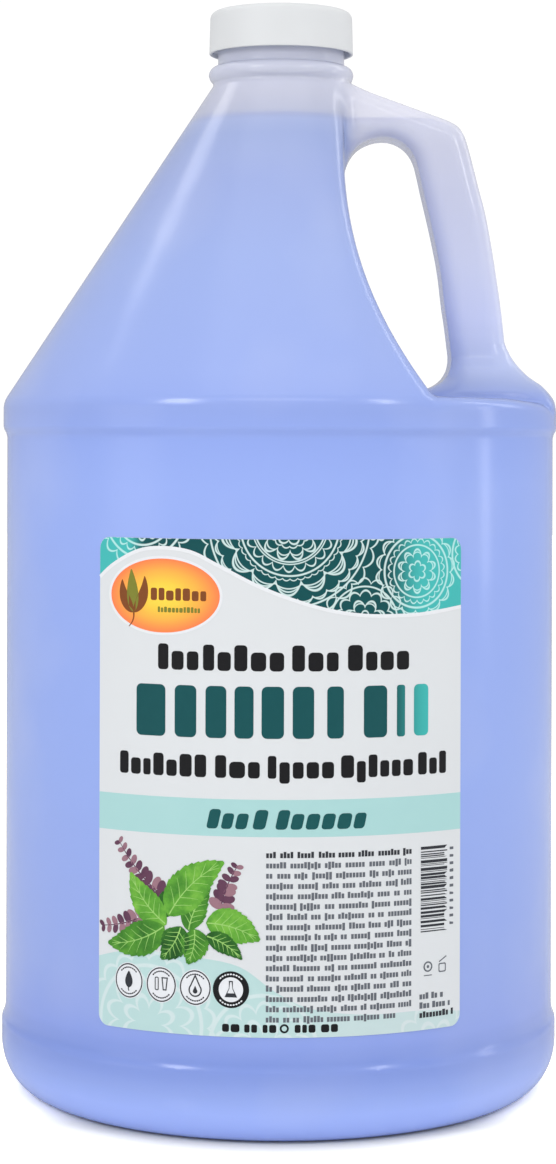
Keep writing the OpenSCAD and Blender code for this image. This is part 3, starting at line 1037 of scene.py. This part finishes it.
# ------------------------------------------------------------------ label pieces
FILM_K = 1.0
CAP_RGB = (212, 214, 216)
PAPER_RGB = (208, 211, 214)
INK_R = LABEL_R + LABEL_T + 0.003
U_MID = math.radians(LABEL_MID - LABEL_TURN) * 75.3


def ellipse(cu, cv, a, b, n=48, turn=0.0):
    t = np.radians(np.arange(n) * 360.0 / n)
    x, y = a * np.cos(t), b * np.sin(t)
    c, s = math.cos(turn), math.sin(turn)
    return [(cu + p * c - q * s, cv + p * s + q * c) for p, q in zip(x, y)]


def strip(points, w0, w1=None):
    """Outline of a line of changing width."""
    w1 = w0 if w1 is None else w1
    p = np.array(points, float)
    d = np.gradient(p, axis=0)
    d /= np.maximum(np.linalg.norm(d, axis=1, keepdims=True), 1e-9)
    nrm = np.stack([-d[:, 1], d[:, 0]], 1)
    w = np.linspace(w0, w1, len(p))[:, None] / 2
    a, b = p + nrm * w, p - nrm * w
    return [tuple(q) for q in a] + [tuple(q) for q in b[::-1]]


def curve_pts(a, b, bend, n=10):
    a, b = np.array(a, float), np.array(b, float)
    d = b - a
    nrm = np.array([-d[1], d[0]])
    t = np.linspace(0, 1, n)[:, None]
    return a + d * t + nrm * bend * 4 * t * (1 - t)


def leaf_shape(base, tip, width, teeth=9, bend=0.08, depth=0.10):
    """A toothed leaf from base to tip."""
    spine = curve_pts(base, tip, bend, 41)
    d = np.gradient(spine, axis=0)
    length = np.linalg.norm(np.array(tip) - np.array(base))
    d /= np.linalg.norm(d, axis=1, keepdims=True)
    nrm = np.stack([-d[:, 1], d[:, 0]], 1)
    t = np.linspace(0, 1, 41)
    half = width / 2 * np.sin(np.pi * t**0.72) ** 0.85
    saw = (t * teeth) % 1.0
    tooth = 1 - depth + depth * saw
    lean = d * (saw * width * 0.05)[:, None]
    a = spine + nrm * (half * tooth)[:, None] + lean
    b = spine - nrm * (half * tooth)[:, None] + lean
    out = [tuple(q) for q in a[:-1]] + [tuple(spine[-1])] + [tuple(q) for q in b[1:-1][::-1]]
    return out, spine, nrm, half, length


def spot(sheet, shape, mat, layer, holes=(), step=2.0):
    r0 = INK_R + 0.014 * layer
    sheet.add(shape, mat, r0, r0 + 0.010, holes, step)


def put_leaf(sheet, base, tip, width, mat, layer, vein="vein", teeth=9, bend=0.08):
    shape, spine, nrm, half, length = leaf_shape(base, tip, width, teeth, bend)
    spot(sheet, shape, mat, layer)
    spot(sheet, strip(spine[1:-3], 0.34, 0.12), vein, layer + 1)
    for k in range(6, 34, 5):
        for s in (1, -1):
            a = spine[k]
            j = min(k + 6, 39)
            b = spine[j] + s * nrm[j] * half[j] * 0.72
            spot(sheet, strip([a, (a + b) / 2 + (spine[j] - spine[k]) * 0.06, b], 0.2, 0.07), vein, layer + 1)


def block_word(sheet, u0, u1, v, xh, mat, layer, rng, tall=1.38, drop=0.30, lean=0.0, caps=False):
    """Placeholder for a word: rounded blocks of uneven height, no letters."""
    w_mean = xh * (0.66 if not caps else 0.74)
    n = max(1, int(round((u1 - u0) / (w_mean * 1.24))))
    parts = np.array([rng.uniform(0.75, 1.2) for _ in range(n)])
    gap = w_mean * 0.28
    w = parts / parts.sum() * ((u1 - u0) - gap * (n - 1))
    u = u0
    for i in range(n):
        lo, hi = v, v + xh
        pick = rng.random()
        if i == 0 and tall > 1:
            hi = v + xh * tall
        elif pick < 0.22 and not caps:
            hi = v + xh * tall
        elif pick < 0.34 and not caps:
            lo = v - xh * drop
        c = min(w[i], hi - lo) * 0.28
        shape = rounded_rect(w[i], hi - lo, c, u + w[i] / 2, (lo + hi) / 2, 3)
        if lean:
            shape = [(a + (b - v) * lean, b) for a, b in shape]
        spot(sheet, shape, mat, layer, step=2.0)
        u += w[i] + gap


def build_label():
    sheet = Sheet()
    w, hgt = 2 * LABEL_HALF * math.pi / 180 * 75.3, LABEL_Z1 - LABEL_Z0
    sheet.add(rounded_rect(w, hgt, 3.0, U_MID, hgt / 2, 8), "paper", LABEL_R, LABEL_R + LABEL_T, step=2.0)
    ob = sheet.build("front_label_sheet", ["paper"])
    ob.data.materials.append(paper_mat())
    return ob, w, hgt


WAVE = [(-51.6, 114.0), (-46.7, 117.7), (-39.4, 121.2), (-32.5, 122.1), (-24.9, 121.2), (-17.9, 118.0), (-7.7, 112.9), (1.3, 109.4),
        (10.3, 106.8), (19.6, 105.4), (29.4, 105.2), (36.3, 105.5), (47.7, 106.9), (51.6, 107.5)]


def smooth_line(points, n=8):
    p = np.array(points, float)
    return catmull(p, n)


def build_art(w, hgt):
    rng = random.Random(7)
    s = Sheet()
    left, right, top = U_MID - w / 2 + 0.03, U_MID + w / 2 - 0.03, hgt - 0.03
    rise = np.radians(np.linspace(0, 90, 8))
    up_left = [(left + 3 - 3 * math.cos(a), top - 3 + 3 * math.sin(a)) for a in rise]
    up_right = [(right - 3 + 3 * math.cos(a), top - 3 + 3 * math.sin(a)) for a in rise]
    down_left = [(left + 3 - 3 * math.cos(a), 0.03 + 3 - 3 * math.sin(a)) for a in rise]
    down_right = [(right - 3 + 3 * math.cos(a), 0.03 + 3 - 3 * math.sin(a)) for a in rise]
    # lace above the wave, following the sheet's rounded corners
    line = smooth_line(WAVE, 6)
    y0, y1 = (float(np.interp(x, line[:, 0], line[:, 1])) for x in (left, right))
    wave = [(left, y0)] + [tuple(q) for q in line if left + 0.05 < q[0] < right - 0.05] + [(right, y1)]
    spot(s, wave + up_right + up_left[::-1], "lace", 0)
    spot(s, strip([(a, b - 0.28) for a, b in wave], 0.9), "white", 1)
    # coloured band, and the pale wash at the bottom
    spot(s, [(left, 50.0), (right, 50.0), (right, 59.3), (left, 59.3)], "band", 0)
    low = smooth_line([(left, 17.5), (-44, 19.4), (-36, 20.2), (-24, 19.6), (-12, 17.6), (-3, 11.5), (6, 7.2), (20, 5.2), (36, 5.0), (right, 3.6)], 5)
    spot(s, down_left + down_right[::-1] + [tuple(q) for q in low[::-1]], "wash", 0)
    # badge
    spot(s, ellipse(-32.3, 109.8, 15.9, 10.0, 72), "white", 2)
    spot(s, ellipse(-32.3, 109.8, 15.2, 9.3, 72), "badge", 3)
    for k, (tip, wd) in enumerate((((-44.0, 113.6), 3.0), ((-41.3, 116.3), 3.4), ((-37.4, 114.6), 3.0))):
        sh = leaf_shape((-40.6, 105.4), tip, wd, 1, 0.12 - 0.12 * k, 0.0)
        spot(s, sh[0], "brown" if k != 1 else "olive", 4)
    spot(s, strip(curve_pts((-40.6, 105.6), (-42.0, 101.8), 0.15), 0.5, 0.25), "brown", 4)
    block_word(s, -35.6, -20.6, 108.6, 2.5, "brown", 4, rng, tall=1.25)
    block_word(s, -33.6, -22.2, 105.6, 1.2, "olive", 4, rng, tall=1.2)
    # headlines
    for a, b in ((-33.5, -22.6), (-21.4, -0.9), (1.1, 12.8), (15.2, 31.7)):
        block_word(s, a, b, 91.3, 4.7, "black", 1, rng)
    for a, b in ((-40.7, -30.4), (-29.6, -22.4), (-21.4, -14.7), (-13.9, -7.9), (-7.2, -0.2), (0.6, 7.3), (9.4, 14.7), (18.6, 26.4), (28.3, 30.6), (32.6, 37.9)):
        wide = (b - a) * (0.80 if b - a > 4 else 1.0)
        spot(s, rounded_rect(wide, 13.0, min(1.4, wide * 0.3), (a + b) / 2, 81.0, 5), "headline", 1)
    for a, b in ((-44.6, -20.5), (-18.2, -6.9), (-4.9, 11.7), (13.5, 32.9), (34.4, 42.9)):
        block_word(s, a, b, 64.6, 4.1, "black", 1, rng)
    for a, b in ((-20.5, -10.3), (-8.8, -5.6), (-3.1, 19.5)):
        block_word(s, a, b, 51.9, 3.9, "deep", 2, rng, tall=1.25, lean=0.22, caps=True)
    # herb picture: dark sprigs behind, toothed leaves in front
    for a, b, n in (((-31.0, 33.5), (-44.6, 47.0), 9), ((-17.0, 30.5), (-12.6, 42.4), 7), ((-36.0, 29.5), (-49.6, 25.4), 7)):
        stem = curve_pts(a, b, 0.05, n + 1)
        spot(s, strip(stem, 0.42, 0.2), "sprig", 2)
        for k in range(1, n + 1):
            size = 2.5 * (1 - 0.72 * k / (n + 1)) + 0.35
            for sgn in (1, -1):
                turn = math.atan2(b[1] - a[1], b[0] - a[0]) + sgn * (1.15 + rng.uniform(-0.2, 0.2))
                c = stem[k] + np.array([math.cos(turn), math.sin(turn)]) * size * 0.62
                spot(s, ellipse(c[0], c[1], size * 0.74, size * 0.46, 18, turn), "sprig" if rng.random() < 0.6 else "sprig_light", 2 + (k % 2))
    put_leaf(s, (-33.5, 29.0), (-24.0, 36.5), 6.5, "leaf_dark", 4, "vein", 7)
    put_leaf(s, (-25.0, 26.0), (-19.4, 37.0), 6.8, "leaf_mid", 4, "vein", 7)
    put_leaf(s, (-30.9, 27.2), (-41.2, 39.6), 8.2, "leaf_light", 6, "vein", 10)
    put_leaf(s, (-30.4, 29.4), (-15.8, 43.6), 10.6, "leaf_light", 6, "vein", 12)
    put_leaf(s, (-31.5, 26.8), (-48.2, 21.2), 9.2, "leaf_mid", 8, "vein", 11)
    put_leaf(s, (-20.4, 28.2), (-6.8, 24.2), 9.4, "leaf_light", 8, "vein", 11)
    put_leaf(s, (-27.0, 27.0), (-32.4, 18.6), 8.2, "leaf_dark", 10, "vein", 8)
    put_leaf(s, (-23.4, 26.6), (-25.2, 17.8), 8.0, "leaf_mid", 10, "vein", 8)
    put_leaf(s, (-20.4, 25.0), (-11.2, 19.4), 5.2, "leaf_dark", 10, "vein", 7)
    # four round icons
    for k, (cu, cv) in enumerate(((-41.7, 12.2), (-32.4, 12.0), (-23.2, 11.9), (-14.0, 11.8))):
        if k < 3:
            spot(s, ellipse(cu, cv, 4.25, 4.55, 40), "white", 1)
            spot(s, ellipse(cu, cv, 4.05, 4.35, 40), "dark", 2, [ellipse(cu, cv, 3.72, 4.02, 40)])
            for j in range(9):
                for mid in (math.pi / 2, -math.pi / 2):
                    a = mid + (j - 4) * 0.19
                    spot(s, ellipse(cu + 3.1 * math.cos(a), cv + 3.35 * math.sin(a), 0.2, 0.3, 8, a), "dark", 2)
        else:
            spot(s, ellipse(cu, cv, 4.6, 4.6, 44), "black", 2, [ellipse(cu, cv, 3.1, 3.1, 40)])
            spot(s, ellipse(cu, cv, 3.1, 3.1, 40), "white", 1)
            for j in range(9):
                for mid in (math.pi / 2, -math.pi / 2):
                    a = mid + (j - 4) * 0.19
                    spot(s, ellipse(cu + 3.85 * math.cos(a), cv + 3.85 * math.sin(a), 0.2, 0.3, 8, a), "white", 3)
    sh = leaf_shape((-41.7, 10.4), (-41.7, 14.6), 2.2, 1, 0.0, 0.0)
    spot(s, sh[0], "dark", 3)
    spot(s, strip(curve_pts((-41.7, 9.6), (-41.7, 11.0), 0.1), 0.3, 0.3), "dark", 3)
    spot(s, rounded_rect(1.1, 3.4, 0.4, -33.6, 12.2), "dark", 3, [rounded_rect(0.6, 2.9, 0.2, -33.6, 12.2)])
    spot(s, [(-32.3, 13.9), (-31.9, 10.6), (-30.9, 10.6), (-30.5, 13.9)], "dark", 3, [[(-31.95, 13.6), (-31.65, 10.9), (-31.15, 10.9), (-30.85, 13.6)]])

    def drop(cu, cv, r):
        a = np.radians(np.linspace(140, 400, 20))
        return [(cu + r * math.cos(x), cv + r * math.sin(x)) for x in a] + [(cu, cv + r * 2.3)]

    spot(s, drop(-23.2, 11.3, 1.75), "dark", 3, [drop(-23.2, 11.3, 1.4)])
    spot(s, drop(-23.2, 11.0, 0.6), "dark", 3)
    spot(s, [(-14.5, 14.0), (-13.5, 14.0), (-13.5, 12.2), (-12.4, 9.9), (-15.6, 9.9), (-14.5, 12.2)], "dark", 3, [[(-14.2, 13.7), (-14.4, 12.0), (-14.9, 10.9), (-13.1, 10.9), (-13.6, 12.0), (-13.8, 13.7)]])
    # fine print: lines of small blocks
    for row in range(17):
        v = 46.0 - row * 2.56
        u = -5.3
        end = 32.7
        words = []
        while u < end - 1.2:
            n = rng.randint(2, 9)
            length = min(n * 0.86, end - u)
            if end - (u + length) < 1.6:
                length = end - u
            words.append((u, u + length))
            u += length + rng.uniform(0.7, 1.1)
        if row == 16:
            words = words[:-1]
        mat = "grey" if row not in (0,) else "dark"
        for a, b in words:
            n = max(1, int(round((b - a) / 0.84)))
            p = (b - a) / n
            for i in range(n):
                r = rng.random()
                lo, hi = v - 1.2, v - (0.0 if r < 0.75 else -0.36)
                if 0.9 < r:
                    lo -= 0.34
                s_u = a + i * p
                spot(s, [(s_u + 0.07, lo), (s_u + p - 0.12, lo), (s_u + p - 0.12, hi), (s_u + 0.07, hi)], mat, 1)
    # stripes of a code panel, stacked upwards, without digits
    v = 24.7
    while v < 46.7:
        t = rng.choice((0.16, 0.16, 0.3, 0.3, 0.45, 0.6, 0.75))
        t = min(t, 46.7 - v)
        spot(s, [(35.3, v), (43.4 - (0.9 if rng.random() < 0.6 else 0), v), (43.4 - (0.9 if rng.random() < 0.6 else 0), v + t), (35.3, v + t)], "dark", 1)
        v += t + rng.choice((0.2, 0.2, 0.34, 0.45))
    for i in range(11):
        vv = 26.0 + i * 1.9
        spot(s, [(44.2, vv), (45.4, vv), (45.4, vv + rng.uniform(0.5, 0.9)), (44.2, vv + 0.7)], "grey", 1)
    # two small marks and three short lines
    spot(s, ellipse(37.5, 15.9, 1.35, 1.35, 24), "grey", 1, [ellipse(37.5, 15.9, 0.95, 0.95, 24)])
    spot(s, ellipse(37.5, 15.9, 0.4, 0.4, 12), "grey", 1)
    spot(s, rounded_rect(2.3, 2.3, 0.4, 41.9, 15.3), "grey", 1, [rounded_rect(1.7, 1.7, 0.25, 41.9, 15.3)])
    spot(s, strip([(40.9, 16.8), (43.2, 18.1)], 0.3, 0.3), "grey", 1)
    spot(s, strip([(36.3, 13.7), (38.7, 13.7)], 0.25, 0.25), "grey", 1)
    for k, b in enumerate((42.6, 45.0, 46.4)):
        u = 35.0
        while u < b - 0.9:
            p = rng.uniform(0.62, 0.92)
            hi = 7.8 - k * 2.35 + (1.25 if rng.random() < 0.7 else 1.6)
            spot(s, [(u, 7.8 - k * 2.35), (u + p, 7.8 - k * 2.35), (u + p, hi), (u, hi)], "grey" if k < 2 else "dark", 1)
            u += p + (0.2 if rng.random() < 0.8 else 0.9)
    # bottom line
    for a, b in ((-16.2, -11.8), (-10.6, -7.4), (-6.0, -2.6), (2.0, 7.2), (8.6, 12.9)):
        block_word(s, a, b, 1.25, 2.0, "black", 1, rng, tall=1.0, caps=True)
    spot(s, ellipse(-0.6, 2.3, 1.15, 1.15, 24), "black", 1, [ellipse(-0.6, 2.3, 0.65, 0.65, 20)])

    mats = ["lace", "white", "band", "wash", "badge", "brown", "olive", "black", "headline", "deep", "sprig", "sprig_light", "leaf_dark", "leaf_mid", "leaf_light", "vein", "dark", "grey"]
    ob = s.build("front_label_print", mats)
    made = {
        "lace": lace_mat(), "white": ink("label_ink_white", (218, 220, 224)), "band": ink("label_ink_band", (160, 202, 202), (168, 207, 206), scale=60.0),
        "wash": wash_mat(), "badge": badge_mat(), "brown": ink("label_ink_brown", (120, 66, 30)), "olive": ink("label_ink_olive", (118, 120, 44)),
        "black": ink("label_ink_black", (16, 16, 19)), "headline": headline_mat(), "deep": ink("label_ink_deep_green", (16, 76, 78)),
        "sprig": ink("label_ink_sprig", (66, 38, 60), (96, 60, 82), scale=300.0, amount=1.0), "sprig_light": ink("label_ink_sprig_light", (118, 82, 106), (150, 112, 124), scale=300.0, amount=1.0),
        "leaf_dark": leaf_mat("label_ink_leaf_dark", (22, 58, 24), (44, 100, 36), (72, 132, 46)),
        "leaf_mid": leaf_mat("label_ink_leaf_mid", (44, 98, 36), (70, 134, 44), (100, 162, 56)),
        "leaf_light": leaf_mat("label_ink_leaf_light", (60, 122, 42), (92, 158, 54), (126, 186, 72)),
        "vein": ink("label_ink_vein", (146, 194, 104)), "dark": ink("label_ink_dark", (44, 46, 52)), "grey": ink("label_ink_grey", (92, 96, 104)),
    }
    for k in mats:
        ob.data.materials.append(made[k])
    return ob


# ------------------------------------------------------------------ assemble
jug, jug_mats, jug_verts = build_jug()
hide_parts("jug")
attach(jug, "bottle")
set_attr(jug, "grip", grip_share(jug_verts))
jug.data.materials.append(hdpe())
jug.data.materials.append(inner_skin())
jug.data.polygons.foreach_set("material_index", [int(i) for i in jug_mats])

oil, oil_verts, oil_top = build_oil()
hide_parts("oil")
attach(oil, "bottle")
set_attr(oil, "grip", grip_share(oil_verts))
oil.data.materials.append(oil_mat())

cap = build_cap()
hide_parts("screw_cap")
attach(cap, "cap")
cap.data.materials.append(cap_mat())

liner = build_liner()
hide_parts("cap_liner")
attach(liner, "liner")
liner.data.materials.append(foam_mat())

label, label_w, label_h = build_label()
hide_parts("front_label")
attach(label, "bottle")
art = build_art(label_w, label_h)
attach(art, "bottle")


# ------------------------------------------------------------------ floor, light and camera
def area(name, direction, distance, size_x, size_y, power, target=(0, 0, 0.15), spread=180.0):
    light = bpy.data.lights.new(name, "AREA")
    light.shape = "RECTANGLE"
    light.size, light.size_y = size_x, size_y
    light.energy = power
    light.spread = math.radians(spread)
    ob = bpy.data.objects.new(name, light)
    bpy.context.scene.collection.objects.link(ob)
    d = Vector(direction).normalized()
    ob.location = Vector(target) + d * distance
    ob.rotation_mode = "QUATERNION"
    ob.rotation_quaternion = d.to_track_quat("Z", "Y")
    ob.visible_camera = False
    return ob


scene = bpy.context.scene
area("rear_left_box", (-0.599, 0.267, 0.755), 1.1, 0.26, 0.18, 0.46)
area("rear_right_box", (0.75, 0.30, 0.50), 1.1, 0.18, 0.6, 1.2)
area("right_strip", (1.0, 0.02, 0.16), 1.1, 0.07, 0.5, 0.6)
area("front_left_box", (-0.60, -0.66, 0.46), 1.2, 0.23, 0.40, 2.9)
area("front_right_box", (0.62, -0.64, 0.46), 1.2, 0.12, 0.40, 1.7)
area("front_strip", (0.0, -0.80, 0.60), 1.2, 0.8, 0.13, 1.2)
area("top_box", (0.0, -0.30, 1.0), 1.2, 1.0, 0.6, 1.3)
area("low_left_box", (-0.86, -0.50, -0.02), 1.2, 0.5, 0.4, 0.55)
area("low_right_box", (0.86, -0.50, -0.02), 1.2, 0.5, 0.4, 0.45)

world = bpy.data.worlds.new("studio")
scene.world = world
world.use_nodes = True
wt = world.node_tree
wt.nodes.clear()
w_out = wt.nodes.new("ShaderNodeOutputWorld")
w_cam = wt.nodes.new("ShaderNodeBackground")
w_cam.inputs[0].default_value = (1, 1, 1, 1)
w_cam.inputs[1].default_value = 1.05
w_env = wt.nodes.new("ShaderNodeBackground")
w_co = wt.nodes.new("ShaderNodeTexCoord")
w_sep = wt.nodes.new("ShaderNodeSeparateXYZ")
wt.links.new(w_co.outputs["Generated"], w_sep.inputs[0])
w_ramp = wt.nodes.new("ShaderNodeValToRGB")
w_map = wt.nodes.new("ShaderNodeMath")
w_map.operation = "MULTIPLY_ADD"
wt.links.new(w_sep.outputs[2], w_map.inputs[0])
w_map.inputs[1].default_value = 0.5
w_map.inputs[2].default_value = 0.5
wt.links.new(w_map.outputs[0], w_ramp.inputs[0])
e = w_ramp.color_ramp.elements
e[0].position, e[0].color = 0.40, (0.80, 0.80, 0.82, 1)
e[1].position, e[1].color = 0.95, (1.0, 1.0, 1.0, 1)
wt.links.new(w_ramp.outputs[0], w_env.inputs[0])
w_env.inputs[1].default_value = 0.84
w_mix = wt.nodes.new("ShaderNodeMixShader")
w_lp = wt.nodes.new("ShaderNodeLightPath")
wt.links.new(w_lp.outputs["Is Camera Ray"], w_mix.inputs[0])
wt.links.new(w_env.outputs[0], w_mix.inputs[1])
wt.links.new(w_cam.outputs[0], w_mix.inputs[2])
wt.links.new(w_mix.outputs[0], w_out.inputs[0])

bm = bmesh.new()
for x, y in ((-4, -4), (4, -4), (4, 4), (-4, 4)):
    bm.verts.new((x, y, -0.00006))
bm.faces.new(bm.verts[:])
fm = bpy.data.meshes.new("floor")
bm.to_mesh(fm)
bm.free()
floor = bpy.data.objects.new("floor", fm)
scene.collection.objects.link(floor)
m = Mat("floor_white")
fd = m.n("BsdfDiffuse")
seen = m.n("LightPath").outputs["Is Camera Ray"]
_, fx, fy, fz = m.xyz()
# floor colour seen by the camera, with painted shadow and light: a darker warm tint within about 67 to 88 mm of the
# axis greys and deepens the contact shadow, and a much brighter colour from about 55 mm in front of the axis
# backwards washes the jug's shadow out there
away = m.math("SQRT", m.math("ADD", m.math("MULTIPLY", fx, fx), m.math("MULTIPLY", fy, fy)))
away = m.smooth(away, 0.067, 0.088)
pale = m.mix(away, (1.04, 0.99, 0.80, 1), (1.50, 1.48, 1.42, 1))
pale = m.mix(m.smooth(fy, -0.055, -0.030), pale, (1.95, 1.85, 1.60, 1))
m.put(fd.inputs["Color"], m.mix(seen, (0.95, 0.95, 0.93, 1), pale))
fg = m.n("BsdfGlossy")
fg.inputs["Roughness"].default_value = 0.06
fm.materials.append(m.out(m.shader_mix(0.09, fd.outputs[0], fg.outputs[0])))

cam_data = bpy.data.cameras.new("camera")
cam_data.sensor_width = 36.0
cam_data.lens = 83.75
cam_data.shift_x = -0.00175
cam_data.shift_y = -0.1289
cam_data.clip_start, cam_data.clip_end = 0.05, 20.0
camera = bpy.data.objects.new("camera", cam_data)
scene.collection.objects.link(camera)
camera.location = (0.0, -0.750, 0.179)
camera.rotation_euler = (math.radians(90), math.radians(-0.172), 0)
scene.camera = camera

scene.view_settings.view_transform = "Standard"
scene.view_settings.look = "None"
scene.cycles.use_denoising = True
scene.cycles.max_bounces = 10
scene.cycles.transparent_max_bounces = 24
scene.cycles.caustics_reflective = False
scene.cycles.caustics_refractive = False

bpy.context.view_layer.update()
